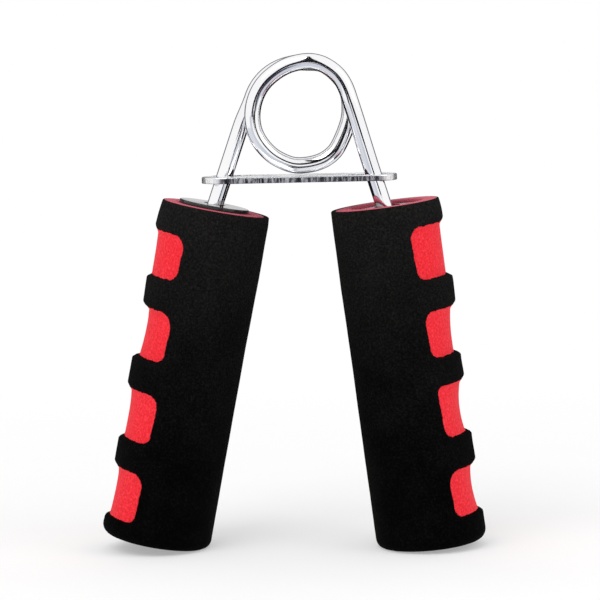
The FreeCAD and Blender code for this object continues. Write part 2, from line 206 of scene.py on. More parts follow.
class Shader:
    """A short way to write node materials."""

    def __init__(self, name):
        self.material = bpy.data.materials.new(name)
        self.material.use_nodes = True
        self.tree = self.material.node_tree
        self.tree.nodes.clear()
        self.principled = self.add("ShaderNodeBsdfPrincipled")
        output = self.add("ShaderNodeOutputMaterial")
        self.join(self.principled.outputs[0], output.inputs["Surface"])
        self.place = self.add("ShaderNodeTexCoord").outputs["Object"]

    def add(self, kind, **settings):
        node = self.tree.nodes.new(kind)
        for key, value in settings.items():
            setattr(node, key, value)
        return node

    def join(self, source, target):
        self.tree.links.new(source, target)

    def set(self, **values):
        for key, value in values.items():
            self.principled.inputs[key.replace("_", " ")].default_value = value

    def stretched(self, scale):
        node = self.add("ShaderNodeMapping")
        node.inputs["Scale"].default_value = scale
        self.join(self.place, node.inputs["Vector"])
        return node.outputs["Vector"]

    def noise(self, scale, detail=3.0, roughness=0.55, vector=None, distortion=0.0):
        node = self.add("ShaderNodeTexNoise")
        node.inputs["Scale"].default_value = scale
        node.inputs["Detail"].default_value = detail
        node.inputs["Roughness"].default_value = roughness
        node.inputs["Distortion"].default_value = distortion
        self.join(vector or self.place, node.inputs["Vector"])
        return node.outputs["Fac"]

    def cells(self, scale):
        node = self.add("ShaderNodeTexVoronoi")
        node.inputs["Scale"].default_value = scale
        self.join(self.place, node.inputs["Vector"])
        return node.outputs["Distance"]

    def ramp(self, source, stops):
        node = self.add("ShaderNodeValToRGB")
        elements = node.color_ramp.elements
        for place, _ in stops[2:]:
            elements.new(place)
        for element, (place, colour) in zip(elements, stops):
            element.position = place
            element.color = (*colour, 1)
        self.join(source, node.inputs["Fac"])
        return node.outputs["Color"]

    def along(self, axis):
        """A place's distance along this axis, in metres."""
        node = self.add("ShaderNodeSeparateXYZ")
        self.join(self.place, node.inputs[0])
        return node.outputs[axis]

    def off_middle(self):
        """How far a place is to the side of the coil's axis."""
        return self.maths("ABSOLUTE", self.maths("SUBTRACT", self.along("X"), COIL_CENTRE.x * MM), 0.0)

    def span(self, source, low, high, start=0.0, end=1.0):
        """Low where the source is at start, high where it is at end, even in between."""
        node = self.add("ShaderNodeMapRange")
        node.inputs["From Min"].default_value = start
        node.inputs["From Max"].default_value = end
        node.inputs["To Min"].default_value = low
        node.inputs["To Max"].default_value = high
        self.join(source, node.inputs["Value"])
        return node.outputs["Result"]

    def maths(self, operation, a, b):
        node = self.add("ShaderNodeMath", operation=operation)
        for value, socket in ((a, node.inputs[0]), (b, node.inputs[1])):
            if isinstance(value, (int, float)):
                socket.default_value = value
            else:
                self.join(value, socket)
        return node.outputs[0]

    def blend(self, factor, a, b):
        node = self.add("ShaderNodeMix", data_type="RGBA")
        mix_factor, colour_a, colour_b = node.inputs[0], node.inputs[6], node.inputs[7]
        for value, socket in ((factor, mix_factor), (a, colour_a), (b, colour_b)):
            if isinstance(value, (int, float)):
                socket.default_value = value
            elif isinstance(value, tuple):
                socket.default_value = (*value, 1)
            else:
                self.join(value, socket)
        mixed_colour = node.outputs[2]
        return mixed_colour

    def bump(self, height, strength, distance, normal=None):
        node = self.add("ShaderNodeBump")
        node.inputs["Strength"].default_value = strength
        node.inputs["Distance"].default_value = distance
        self.join(height, node.inputs["Height"])
        if normal:
            self.join(normal, node.inputs["Normal"])
        return node.outputs["Normal"]

    def colour_from(self, source):
        self.join(source, self.principled.inputs["Base Color"])

    def roughness_from(self, source):
        self.join(source, self.principled.inputs["Roughness"])

    def normal_from(self, source):
        self.join(source, self.principled.inputs["Normal"])


def wire_material():
    """Bright chrome plate over drawn spring wire: faint die lines, tiny pits and a little haze."""
    s = Shader("wire_chrome")
    s.set(Metallic=1.0)
    haze = s.noise(420, 4, 0.6)
    tone = s.noise(60, 2, 0.5)
    s.colour_from(s.ramp(tone, [(0.3, (0.90, 0.90, 0.92)), (0.7, (0.96, 0.96, 0.97))]))
    s.roughness_from(s.span(haze, 0.04, 0.11))
    ripple = s.noise(900, 3, 0.6)
    wave = s.noise(95, 2, 0.5)
    s.normal_from(s.bump(ripple, 0.05, 0.0001, s.bump(wave, 0.06, 0.0003)))
    return s.material


def plate_material():
    """Chrome plate on stamped strip: softer reflections than the wire and fine rolling lines."""
    s = Shader("plate_chrome")
    s.set(Metallic=1.0)
    lines = s.noise(260, 3, 0.6, s.stretched((0.25, 6, 1)))
    cloud = s.noise(120, 3, 0.6)
    s.colour_from(s.ramp(cloud, [(0.3, (0.80, 0.81, 0.84)), (0.75, (0.92, 0.92, 0.94))]))
    s.roughness_from(s.span(s.maths("MULTIPLY", lines, cloud), 0.10, 0.34, 0.1, 0.5))
    s.normal_from(s.bump(lines, 0.12, 0.00008))
    return s.material


def sheared_material():
    """The plate's cut edge: upright drag marks of the punch under a thin plate."""
    s = Shader("plate_sheared_edge")
    s.set(Metallic=1.0)
    streaks = s.noise(1150, 4, 0.65, s.stretched((1.0, 1.0, 0.12)))
    coarse = s.noise(420, 2, 0.5, s.stretched((1.0, 1.0, 0.25)))
    both = s.maths("MULTIPLY", streaks, s.span(coarse, 0.6, 1.4))
    torn, dull, bright = (0.015, 0.015, 0.02), (0.08, 0.08, 0.10), (0.52, 0.52, 0.55)
    cut = s.ramp(both, [(0.36, torn), (0.48, dull), (0.61, bright)])
    # Painted reflection: the cut side turns near white towards the plate's round ends, which stands in for
    # the bright surroundings that the curved ends reflect.
    painted_end_reflection = s.span(s.off_middle(), 0.0, 0.9, 0.0245, 0.028)
    s.colour_from(s.blend(painted_end_reflection, cut, (0.97, 0.97, 0.97)))
    s.roughness_from(s.span(coarse, 0.14, 0.42))
    s.normal_from(s.bump(both, 0.55, 0.0004))
    return s.material


def core_material():
    """Glossy black moulded plastic with faint flow marks."""
    s = Shader("core_gloss")
    s.set(Specular_IOR_Level=0.5)
    flow = s.noise(140, 3, 0.6, distortion=0.6)
    grain = s.noise(1600, 3, 0.6)
    s.colour_from(s.ramp(flow, [(0.35, (0.010, 0.010, 0.010)), (0.7, (0.022, 0.021, 0.021))]))
    s.roughness_from(s.span(flow, 0.07, 0.20))
    s.normal_from(s.bump(grain, 0.06, 0.00006, s.bump(flow, 0.10, 0.0004)))
    return s.material


def cover_material():
    """Black closed cell foam skin: matt felt-like grain with a few open cells, painted lighter towards the
    top as light from above, in uneven patches.
    """
    s = Shader("cover_foam")
    s.set(Specular_IOR_Level=0.02, Sheen_Weight=0.01, Sheen_Roughness=0.5)
    s.principled.inputs["Sheen Tint"].default_value = (0.55, 0.5, 0.46, 1)
    grain = s.noise(1500, 4, 0.75)
    pores = s.cells(1100)
    patch = s.noise(70, 3, 0.6)
    dark, grey, light = (0.0045, 0.0042, 0.0041), (0.0100, 0.0095, 0.0092), (0.022, 0.021, 0.020)
    lit_top_tone = s.ramp(grain, [(0.34, dark), (0.50, grey), (0.68, light)])
    dark, grey, light = (0.0002, 0.0002, 0.0002), (0.0009, 0.0009, 0.0009), (0.0040, 0.0039, 0.0040)
    shaded_low_tone = s.ramp(grain, [(0.36, dark), (0.52, grey), (0.68, light)])
    # Painted light: the cover goes from a darker tone low down to a lighter one near the top, which stands
    # in for light from above, with random patches.
    rise = s.span(s.along("Z"), 0.0, 1.0, 0.0, 0.115)
    painted_top_light = s.maths("ADD", s.maths("MULTIPLY", rise, rise), s.span(patch, -0.12, 0.12, 0.3, 0.7))
    s.colour_from(s.blend(painted_top_light, shaded_low_tone, lit_top_tone))
    s.roughness_from(s.span(grain, 0.82, 1.0))
    skin = s.bump(pores, 0.35, 0.00022)
    s.normal_from(s.bump(grain, 0.6, 0.0003, skin))
    return s.material


def inner_material():
    """Red foam ground open in the finger grooves: cut cells and a dusty grain. Its upper end is painted a
    duller pink, a painted sheen of the end face seen at a grazing angle.
    """
    s = Shader("inner_foam")
    s.set(Specular_IOR_Level=0.2, Sheen_Weight=0.10, Sheen_Roughness=0.4)
    s.principled.inputs["Sheen Tint"].default_value = (1.0, 0.55, 0.62, 1)
    grain = s.noise(1400, 3, 0.65)
    pores = s.cells(1000)
    patch = s.noise(120, 3, 0.5)
    dark, red, light = (0.68, 0.006, 0.014), (0.88, 0.014, 0.028), (0.95, 0.055, 0.075)
    base = s.ramp(grain, [(0.34, dark), (0.52, red), (0.70, light)])
    ground = s.blend(s.span(patch, 0.0, 0.25), base, (0.87, 0.013, 0.028))
    # Painted sheen: the upper end face gets a duller pink colour, which stands in for its sheen at a
    # grazing view.
    upper_end = s.span(s.along("Z"), 0.0, 0.9, 0.1035, 0.1055)
    s.colour_from(s.blend(upper_end, ground, (0.56, 0.105, 0.155)))
    s.roughness_from(s.span(grain, 0.62, 0.85))
    skin = s.bump(pores, 0.35, 0.00022)
    s.normal_from(s.bump(grain, 0.40, 0.00025, skin))
    return s.material


wire_chrome, plate_chrome, sheared_edge = wire_material(), plate_material(), sheared_material()
core_gloss, cover_foam, inner_foam = core_material(), cover_material(), inner_material()


# The wire: one line from the right handle through the coil to the left handle

AROUND = 56  # facets round the wire
STEP = 0.55  # along it
SOCKET_STEPS, BEND_STEPS, SET_BEND_STEPS = 90, 8, 12  # along these parts of it
CUT_TOLERANCE = 1e-6  # how near the cutting plane a point counts as on it


def arc(start, corner, end, steps):
    """Points of the arc that leaves start and reaches end along the two sides that meet at corner."""
    a, b = (start - corner).normalized(), (end - corner).normalized()
    half = a.angle(b) / 2
    reach = (start - corner).length
    radius = reach * math.tan(half)
    centre = corner + (a + b).normalized() * (reach / math.cos(half))
    u = (start - centre).normalized()
    v = (end - centre).normalized()
    sweep = u.angle(v)
    w = (v - u * u.dot(v)).normalized()
    turns = [sweep * k / steps for k in range(steps + 1)]
    return [centre + (u * math.cos(turn) + w * math.sin(turn)) * radius for turn in turns]


def half_wire(side):
    """The side's middle line, from its end inside the handle to the coil's lowest point."""
    corner = bend_corner(side)
    handle_way = lean_direction(HANDLE_LEAN[side])
    tangent = LEG_BEND_RADIUS * math.tan(math.radians(LEG_LEAN - HANDLE_LEAN[side]) / 2)
    foot = corner + handle_way * tangent
    line = [foot + handle_way * SOCKET_DEPTH * (1 - k / SOCKET_STEPS) for k in range(SOCKET_STEPS)]
    line += arc(foot, corner, corner - leg_way * tangent, BEND_STEPS)
    upper, lower = set_corner + leg_way * set_tangent, line[-1]
    steps = int((upper - lower).length / STEP)
    coil_start = coil_point(START_TURN)
    leg = [lower.lerp(upper, k / steps) for k in range(1, steps + 1)]
    leg += arc(upper, set_corner, coil_start, SET_BEND_STEPS)[1:]
    line += [strayed(p, START_TURN - (p - coil_start).length / HALF_WIDTH, side) for p in leg]
    steps = int(COIL_SWEEP / 2 * HALF_WIDTH / STEP)
    turns = [START_TURN + COIL_SWEEP / 2 * k / steps for k in range(1, steps + 1)]
    line += [strayed(coil_point(turn), turn, side) for turn in turns]
    return line


def whole_wire():
    """The whole middle line in the right hand coordinates, from the right handle to the left one."""
    right = half_wire("right")
    turned = [Vector((-p.x, -p.y, p.z)) for p in half_wire("left")]
    return right + turned[::-1][1:]


def make_wire():
    """The wire's skin as points, their outward directions and faces."""
    line = whole_wire()
    before, after = [line[0]] + line[:-1], line[1:] + [line[-1]]
    ways = [(b - a).normalized() for a, b in zip(before, after)]
    points, normals = [], []
    reference = Vector((0, 1, 0))
    for point, way in zip(line, ways):
        reference = (reference - way * reference.dot(way)).normalized()
        up = way.cross(reference)
        for k in range(AROUND):
            turn = 2 * math.pi * k / AROUND
            normal = reference * math.cos(turn) + up * math.sin(turn)
            points.append(point + normal * (WIRE / 2))
            normals.append(normal)
    count = len(line)
    faces = []
    for i in range(count - 1):
        for k in range(AROUND):
            a, b = i * AROUND + k, i * AROUND + (k + 1) % AROUND
            faces.append((a, b, b + AROUND, a + AROUND))
    first_end, last_end = len(points), len(points) + 1
    points += [line[0], line[-1]]
    normals += [-ways[0], ways[-1]]
    last = (count - 1) * AROUND
    for k in range(AROUND):
        faces.append((first_end, (k + 1) % AROUND, k))
        faces.append((last_end, last + k, last + (k + 1) % AROUND))
    return [tuple(p) for p in points], [tuple(n) for n in normals], faces


def wire_half(name, front):
    """The wire's skin in front of the coil's middle plane, or behind it. The halves meet where the plane
    cuts the wire."""
    points, normals, faces = make_wire()
    mesh = bmesh.new()
    store = mesh.verts.layers.float_vector.new("outward")
    verts = []
    for point, normal in zip(points, normals):
        vert = mesh.verts.new(point)
        vert[store] = normal
        verts.append(vert)
    for face in faces:
        mesh.faces.new([verts[i] for i in face])
    bmesh.ops.bisect_plane(
        mesh,
        geom=mesh.verts[:] + mesh.edges[:] + mesh.faces[:],
        dist=CUT_TOLERANCE,
        plane_co=(0, 0, 0),
        plane_no=(0, 1 if front else -1, 0),
        clear_outer=True,
    )
    mesh.normal_update()
    matrix = placed("right")
    turn = matrix.to_3x3().normalized()
    data = bpy.data.meshes.new(name)
    outward = [turn @ Vector(vert[store]).normalized() for vert in mesh.verts]
    mesh.to_mesh(data)
    mesh.free()
    data.transform(matrix)
    data.polygons.foreach_set("use_smooth", [True] * len(data.polygons))
    data.attributes.remove(data.attributes["outward"])
    data.normals_split_custom_set_from_vertices([tuple(n) for n in outward])
    data.materials.append(wire_chrome)
    return link_new(name, data)


for side, front in (("right", True), ("left", False)):
    half = wire_half(f"wire_{side}", front)
    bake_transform(half)
    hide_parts("spring_coil", f"{side}_leg")


# The plate: stamped strip with a rolled upper edge and a rough cut side

leg_reach = abs(leg_start.x * leg_way.z - leg_start.z * leg_way.x)
plate_middle = plate_top - PLATE_THICKNESS / 2


def slot_end(degrees_out, sign, spare):
    """From the plate's middle to the slot's end beside a leg that leans out by so much."""
    turn = math.radians(degrees_out)
    crossing = (leg_reach - plate_middle * math.sin(turn)) / math.cos(turn)
    return crossing + sign * (WIRE / 2 / math.cos(turn) + PLATE_THICKNESS / 2 * math.tan(turn) + spare)


# Room round the wire in its slot: beside it, beyond it at rest and within it when closed
SIDE_ROOM, OUTER_ROOM, INNER_ROOM = 0.3, 0.3, 0.8
SLOT_OUTER = slot_end(LEG_LEAN, 1, OUTER_ROOM)
SLOT_INNER = slot_end(LEG_LEAN - CLOSING, -1, INNER_ROOM)
SLOT_HALF = WIRE / 2 + SIDE_ROOM
ROLL_STEPS, SIDE_STEPS = 4, 8  # rings down the rolled rim and down the cut side
LEAST_TURN_STEPS = 10  # facets round the smallest end of a loop


def stadium_loop(left, right, middle_y, radius, step):
    """Points and outward normals round a strip with half round ends."""
    points = []
    steps = max(int((right - left - 2 * radius) / step), 1)
    turns = max(int(math.pi * radius / step), LEAST_TURN_STEPS)
    for start, end, way in ((left + radius, right - radius, -1), (right - radius, left + radius, 1)):
        for k in range(steps):
            points.append((start + (end - start) * k / steps, middle_y + way * radius, 0, way))
        for k in range(turns):
            a = way * math.pi / 2 + math.pi * k / turns
            nx, ny = math.cos(a), math.sin(a)
            points.append((end + radius * nx, middle_y + radius * ny, nx, ny))
    return points


def drag_marks(x, y, z):
    """Upright marks of the punch on a cut side, as a share of their depth."""
    return noise.noise(Vector((x * 2.3, y * 2.3, z * 0.25))) - 0.3


def make_plate():
    """The stamped strip and its two slots, with a rolled upper rim and a burr below."""
    mesh = bmesh.new()
    tops, bottoms = [], []

    def wall(loop, outward, rolled, burr, rough):
        """One closed wall of the plate, from its upper face over the rolled rim down to its lower face."""
        rolls = np.linspace(0, math.pi / 2, ROLL_STEPS + 1)
        heights = np.linspace(-rolled, -PLATE_THICKNESS + burr, SIDE_STEPS + 1)[1:]
        profile = [(rolled * (math.sin(a) - 1), -rolled * (1 - math.cos(a))) for a in rolls]
        profile += [(0, z) for z in heights] + [(-burr, -PLATE_THICKNESS)]
        rings = []
        for inset, z in profile:
            sheared = -PLATE_THICKNESS + 0.05 < z < -rolled + 0.01
            ring = []
            for x, y, nx, ny in loop:
                depth = rough * drag_marks(x, y, z) if sheared else 0.0
                shift = (inset + depth) * outward
                ring.append(mesh.verts.new((x + nx * shift, y + ny * shift, z)))
            rings.append(ring)
        count = len(loop)
        for r, (upper, lower) in enumerate(zip(rings, rings[1:])):
            for k in range(count):
                corners = (upper[k], lower[k], lower[(k + 1) % count], upper[(k + 1) % count])
                face = mesh.faces.new(corners if outward > 0 else corners[::-1])
                face.smooth = True
                face.material_index = 1 if r >= ROLL_STEPS else 0
        for ring, store in ((rings[0], tops), (rings[-1], bottoms)):
            store += [mesh.edges.get((ring[k], ring[(k + 1) % count])) for k in range(count)]

    half = PLATE_LENGTH / 2
    outline = stadium_loop(-half, half, 0, PLATE_WIDTH / 2, step=0.3)
    wall(outline, 1, rolled=0.42, burr=0.1, rough=0.10)
    for sign in (1, -1):
        left, right = sorted((sign * SLOT_INNER, sign * SLOT_OUTER))
        outline = stadium_loop(left, right, -sign * leg_plane, SLOT_HALF, step=0.4)
        wall(outline, -1, rolled=0.25, burr=0.08, rough=0.04)
    for edges in (tops, bottoms):
        bmesh.ops.triangle_fill(mesh, edges=edges, use_beauty=True)
    for face in mesh.faces:
        if len(face.verts) == 3:
            face.smooth = False
    bmesh.ops.recalc_face_normals(mesh, faces=mesh.faces)
    data = bpy.data.meshes.new("plate")
    mesh.to_mesh(data)
    mesh.free()
    set_askew = Matrix.Translation((0, 0, plate_top)) @ Matrix.Rotation(-PLATE_ASKEW, 4, "Y")
    data.transform(placed("right") @ set_askew)
    data.materials.append(plate_chrome)
    data.materials.append(sheared_edge)
    return link_new("plate", data)


plate = make_plate()
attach(plate, "spring")
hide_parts("spreader_plate")


# The foam: each handle's skin is one surface over a grid of angle and depth, ground into four grooves.
# The black cover is what lies outside the grooves' outlines and the red foam shows inside them.

# Each groove: depth where the red begins and ends, half angle it spans, its upper and lower corner radii,
# and the floor's radius at the fingers' side as (depth, radius) at its start, lowest place and end
GROOVES = {
    "left": [
        (9.6, 24.1, 65.5, (4.9, 3.6), ((10.6, 16.2), (19.5, 15.95), (24.0, 15.9))),
        (34.5, 50.4, 66.5, (5.2, 3.2), ((37.2, 14.7), (39.5, 14.6), (50.2, 15.3))),
        (61.0, 76.9, 67.0, (4.6, 3.2), ((62.4, 15.9), (68.5, 15.5), (76.5, 15.65))),
        (86.7, 102.7, 65.5, (4.9, 3.2), ((88.6, 15.55), (91.0, 15.4), (102.4, 15.9))),
    ],
    "right": [
        (7.5, 24.2, 70.0, (4.2, 3.2), ((8.7, 15.7), (15.0, 15.65), (23.8, 15.65))),
        (34.3, 49.1, 66.0, (4.0, 3.4), ((35.8, 15.5), (45.0, 14.75), (48.8, 14.8))),
        (58.1, 74.7, 62.3, (2.2, 3.9), ((60.0, 15.2), (67.5, 14.3), (74.2, 14.9))),
        (85.2, 100.1, 63.0, (4.6, 3.4), ((86.4, 15.25), (91.5, 14.85), (99.4, 15.65))),
    ],
}
# The cover's radius at the fingers' side along the handle, over the ridges between the grooves
RIDGES = {
    "left": (
        (0, 16.5), (1.5, 16.75), (5, 17.2), (8, 17.4), (24, 17.4), (33, 17.2), (52, 17.55), (60, 17.6),
        (77, 17.4), (85, 17.4), (103, 17.4), (109, 17.8),
    ),
    "right": (
        (0, 16.55), (1.5, 16.8), (4, 17.1), (8, 17.15), (27, 17.7), (34, 17.5), (52, 16.9), (58, 17.2),
        (78, 17.05), (85, 17.25), (109, 17.45),
    ),
}
# The cover's radius at the thumb's side
BACKS = {
    "left": ((0, 17.9), (3, 18.15), (20, 18.15), (40, 17.85), (75, 17.8), (109, 17.85)),
    "right": ((0, 17.8), (5, 17.9), (25, 18.0), (45, 17.8), (109, 17.8)),
}
LOW_END = {"left": 0.1, "right": 0.9}  # how much longer the foam is at the fingers' side
SLANT_START = 101.0  # depth from which it gets longer
FINE, COARSE = 0.4, 1.3  # grid steps
END_ROUNDING = 3.0
FOAM_RIM = 0.55  # rounding of the cover's upper rim
CUT_DEPTH = 0.5  # how far the cover's cut edges are turned in
FIELD_RADIUS = INNER_RADIUS * 1.05  # radius at which widths round the handle are measured
FIELD_TAPER = 0.5  # how much a red field's half width shrinks from its middle to its lower end
FINE_REACH = 76  # degrees to each side of the fingers that get the fine grid
FINE_ABOVE, FINE_BELOW = 2.6, 2.8  # above and below a red field that get it too
WANDER = 0.20  # size of the cut edges' wander
RIDGE_SHARPNESS, FLOOR_SHARPNESS = 1.6, 2.4  # how fast the radii change round the handle
SKIN_STEP = 0.55  # how far the floor's sides stay under the cover
SIDE_FLOOR = INNER_RADIUS + 0.35  # the floor's greatest radius, at its sides
# How far the skin's slope reaches outside and inside a red field's edge: at its sides, upper and lower end
SIDE_SLOPE, UPPER_SLOPE, LOWER_SLOPE = (0.35, 0.35), (1.55, 1.3), (1.4, 0.15)


def ragged(u, s, seed):
    """A small uneven wander, for edges cut by hand in foam."""
    waves = ((3.9, 2.1, 0.34), (2.3, 4.7, 0.30), (7.7, 3.1, 0.24), (1.3, 0.9, 0.40), (5.1, 8.9, 0.22))
    total = 0
    for k, (a, b, size) in enumerate(waves):
        total = total + size * np.sin(a * u + 1.7 * k + seed) * np.cos(b * s + 2.3 * k - seed)
    return total


def outline_distance(u, s, groove):
    """How far a place on the skin lies outside the groove's red field, negative inside."""
    start, end, half_angle, (top_corner, low_corner), _ = groove
    half_width = math.radians(half_angle) * FIELD_RADIUS
    middle, half_length = (start + end) / 2, (end - start) / 2
    corner = np.where(s < middle, top_corner, low_corner)
    taper = FIELD_TAPER * (s - middle) / half_length
    qx = np.abs(u) - (half_width - taper) + corner
    qs = np.abs(s - middle) - half_length + corner
    outside = np.hypot(np.maximum(qx, 0), np.maximum(qs, 0))
    return outside + np.minimum(np.maximum(qx, qs), 0) - corner


def cover_radius(side, theta, s, u, seed):
    """The cover's outer radius, before its grooves."""
    ridge = np.interp(s, *zip(*RIDGES[side]))
    back = np.interp(s, *zip(*BACKS[side]))
    to_fingers = ((1 + np.cos(theta)) / 2) ** RIDGE_SHARPNESS
    swell = 0.035 * np.sin(3 * theta + s * 0.13) * np.sin(s * 0.21 + seed)
    uneven = swell + 0.02 * ragged(u * 0.23, s * 0.17, seed + 2)
    return back + (ridge - back) * to_fingers + uneven


def groove_floors(side, theta, s, which, radius):
    """The floor's radius in the groove that is nearest to each place."""
    floor = radius.copy()
    edge = np.minimum(radius - SKIN_STEP, SIDE_FLOOR)
    for k, (_, _, half_angle, _, radii) in enumerate(GROOVES[side]):
        (s0, r0), (s1, r1), (s2, r2) = radii
        bottom = np.where(
            s < s1,
            r1 + (r0 - r1) * np.clip((s1 - s) / (s1 - s0), 0, 1.2) ** 2,
            r1 + (r2 - r1) * np.clip((s - s1) / (s2 - s1), 0, 1.2) ** 2,
        )
        share = np.clip(np.abs(theta) / math.radians(half_angle), 0, 1) ** FLOOR_SHARPNESS
        floor = np.where(which == k, bottom + (edge - bottom) * share, floor)
    return floor


def floor_share(signed, slope_s):
    """How far each place has come down from the skin to the floor, between 0 and 1."""
    at_lower_end, at_upper_end = np.clip(slope_s, 0, 1), np.clip(-slope_s, 0, 1)
    outer, inner = (
        sides + (upper - sides) * at_upper_end + (lower - sides) * at_lower_end
        for sides, upper, lower in zip(SIDE_SLOPE, UPPER_SLOPE, LOWER_SLOPE)
    )
    return smoothstep((outer - signed) / (outer + inner))


def skin_grid(side):
    """Angles, depths, radii and the distance to the red fields over the whole skin."""
    fine_angle, coarse_angle = math.degrees(FINE / INNER_RADIUS), math.degrees(COARSE / COVER_RADIUS)
    near = np.linspace(-FINE_REACH, FINE_REACH, int(2 * FINE_REACH / fine_angle) + 1)
    far = np.linspace(FINE_REACH, 360 - FINE_REACH, int((360 - 2 * FINE_REACH) / coarse_angle) + 1)[1:-1]
    angles = np.radians(np.concatenate([near, far]))
    wrapped = np.where(angles > math.pi, angles - 2 * math.pi, angles)
    depths, at = [FOAM_RIM], FOAM_RIM
    last = HANDLE_LENGTH - END_ROUNDING
    while at < last:
        close = any(g[0] - FINE_ABOVE < at < g[1] + FINE_BELOW for g in GROOVES[side])
        at += FINE if close else COARSE
        depths.append(min(at, last))
    s, u = np.meshgrid(depths, wrapped * FIELD_RADIUS, indexing="ij")
    seed = 0.0 if side == "left" else 4.0
    wander = WANDER * ragged(u, s, seed)

    def nearest(across, along):
        """The distance to the nearest red field and that field's number."""
        distances = np.stack([outline_distance(across, along, g) for g in GROOVES[side]])
        return distances.min(axis=0), distances.argmin(axis=0)

    distance, which = nearest(u, s)
    small = 0.02
    slope_u = (nearest(u + small, s)[0] - nearest(u - small, s)[0]) / (2 * small)
    slope_s = (nearest(u, s + small)[0] - nearest(u, s - small)[0]) / (2 * small)
    # grid points next to the red's edge are moved onto it
    signed = distance + wander
    close = np.abs(signed) < 0.5 * FINE
    u = u - np.where(close, signed * slope_u, 0)
    s = s - np.where(close, signed * slope_s, 0)
    signed = np.where(close, 0, signed)
    theta = u / FIELD_RADIUS
    radius = cover_radius(side, theta, s, u, seed)
    floor = groove_floors(side, theta, s, which, radius)
    radius = radius + (floor - radius) * floor_share(signed, slope_s)
    return theta, s, radius, signed


def to_points(theta, s, radius):
    """Points in the handle's frame at these angles, depths and radii."""
    theta, s, radius = np.broadcast_arrays(theta, s, radius)
    return np.stack([radius * np.cos(theta), -radius * np.sin(theta), -s], axis=-1)


def slanted(points, side):
    """The cover's points with the lower end cut slightly askew."""
    share = smoothstep((-points[:, 2] - SLANT_START) / (HANDLE_LENGTH - SLANT_START))
    outer = np.clip(0.35 + 0.65 * points[:, 0] / COVER_RADIUS, 0, 1)
    return points - np.outer(LOW_END[side] * share * outer, (0, 0, 1))


def grid_faces(rows, columns):
    """Quads between rings of points that lie row by row."""
    i, k = np.meshgrid(np.arange(rows - 1), np.arange(columns), indexing="ij")
    a, b = i * columns + k, i * columns + (k + 1) % columns
    return np.stack([a, a + columns, b + columns, b], axis=-1).reshape(-1, 4)


def open_edges(faces):
    """The edges that only one of these faces has, each in the way that its face runs."""
    edges = {}
    for face in faces:
        for a, b in zip(face, face[1:] + face[:1]):
            if (b, a) in edges:
                del edges[(b, a)]
            else:
                edges[(a, b)] = True
    return list(edges)


# Rings of the cover's inner lip as (radius, depth), and of the red foam's upper end
COVER_LIP = ((INNER_RADIUS - 0.25, 3.0), (INNER_RADIUS - 0.2, 0.5), (INNER_RADIUS + 0.02, 0.06))
RED_TOP = (
    (CORE_RADIUS + 0.03, 3.0),
    (CORE_RADIUS + 0.05, 0.3),
    (CORE_RADIUS + 0.3, 0.02),
    (13.8, -0.06),
    (INNER_RADIUS - 0.5, 0.02),
    (INNER_RADIUS - 0.1, 0.15),
)
RIM_STEPS, END_STEPS = 4, 8
DISH = 0.25  # hollow in the lower end
DISH_SHARES = (0.9, 0.75, 0.55, 0.35, 0.15)
COVER_END = 3.05  # from the lower end up to the red foam's


